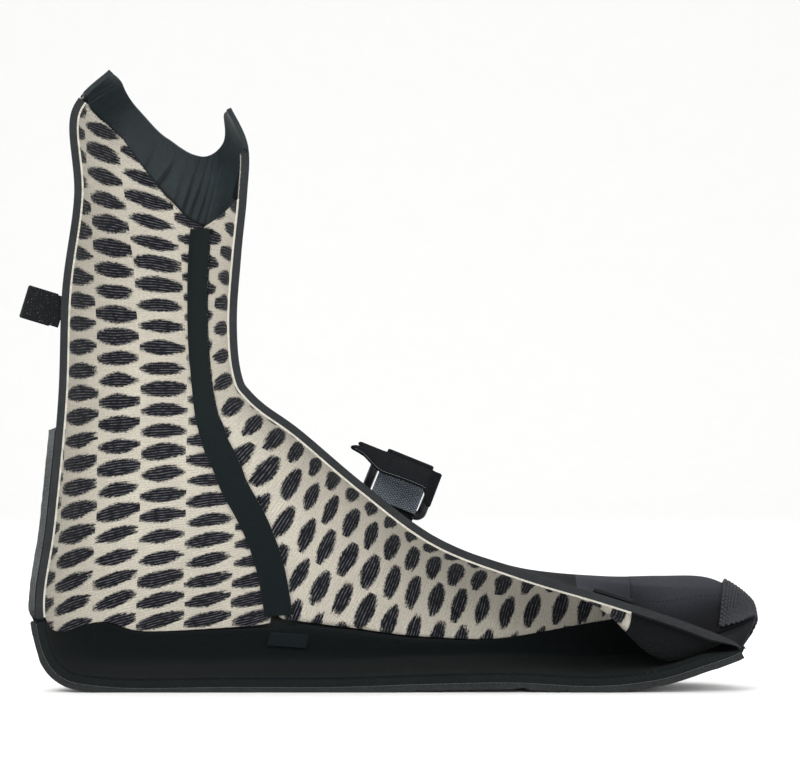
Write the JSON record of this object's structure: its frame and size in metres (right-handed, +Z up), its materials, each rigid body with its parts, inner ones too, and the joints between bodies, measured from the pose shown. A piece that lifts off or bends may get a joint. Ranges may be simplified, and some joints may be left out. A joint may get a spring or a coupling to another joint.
{
  "type": "sectioned split-toe neoprene surf boot",
  "caption": "Lengthwise half of a split-toe neoprene surf boot, cut open to show its patterned lining, seam tape, foam and sole, with an instep strap and a heel pull tab.",
  "frame": {"origin": "on the floor, under the middle of the heel", "axes": "+X to the toe, +Z up, the open cut face looks along -Y"},
  "size_m": [0.2967, 0.05, 0.2492],
  "materials": {
    "black_foam": "closed-cell neoprene with a fine matt grain",
    "sole_rubber": "moulded rubber, finely textured",
    "heel_rubber": "brushed grey moulded rubber",
    "toe_rubber": "rubber with raised scales",
    "smooth_skin": "smooth-skin neoprene with a soft sheen",
    "pile_lining": "knitted thermal pile, cream with dark ovals",
    "black_knit": "brushed black knit",
    "seam_tape": "glued black stretch tape",
    "stay_neoprene": "thin grey laminated neoprene",
    "webbing": "woven polyester webbing",
    "strap_weave": "grey woven strap",
    "hook_pile": "black hook and loop pile",
    "ring_plastic": "moulded plastic, satin gloss"
  },
  "bodies": {
    "boot": {"outsole": "sole_rubber", "heel_counter": "heel_rubber", "toe_bumper": "toe_rubber", "sole_foam": "black_foam", "rear_panel": "black_foam", "instep_panel": "black_foam", "outer_toe_panel": "black_foam", "big_toe_panel": "black_foam", "collar_seal": "smooth_skin", "collar_lap": "smooth_skin", "rear_lining": "pile_lining", "instep_lining": "pile_lining", "footbed": "black_knit", "outer_toe_lining": "black_knit", "big_toe_lining": "black_knit", "seam_tape": "seam_tape", "tape_end_patch": "stay_neoprene", "split_toe_stay": "stay_neoprene", "anchor_webbing": "webbing", "ring_keeper": "webbing", "pull_tab_stay": "webbing", "pull_tab_root": "webbing"},
    "ring": {"strap_ring": "ring_plastic"},
    "strap": {"strap": "strap_weave"},
    "flap": {"hook_flap": "hook_pile"},
    "tab": {"pull_tab": "webbing"}
  },
  "joints": [
    {"name": "ring_pivot", "type": "hinge", "parent": "boot", "child": "ring", "pos_m": [0.10418, 0.0082, 0.07367], "axis": [0.9272, 0, -0.3746], "range_deg": [-70, 0]},
    {"name": "strap_swivel", "type": "hinge", "parent": "ring", "child": "strap", "pos_m": [0.11096, 0.00435, 0.09044], "axis": [0.9272, 0, -0.3746], "range_deg": [-100, 0]},
    {"name": "flap_peel", "type": "hinge", "parent": "strap", "child": "flap", "pos_m": [0.11134, -0.00042, 0.0914], "axis": [0.9272, 0, -0.3746], "range_deg": [-100, 10]},
    {"name": "tab_swing", "type": "hinge", "parent": "boot", "child": "tab", "pos_m": [-0.03259, -0.0131, 0.15345], "axis": [0.2924, 0, 0.9563], "range_deg": [-60, 60]}
  ]
}
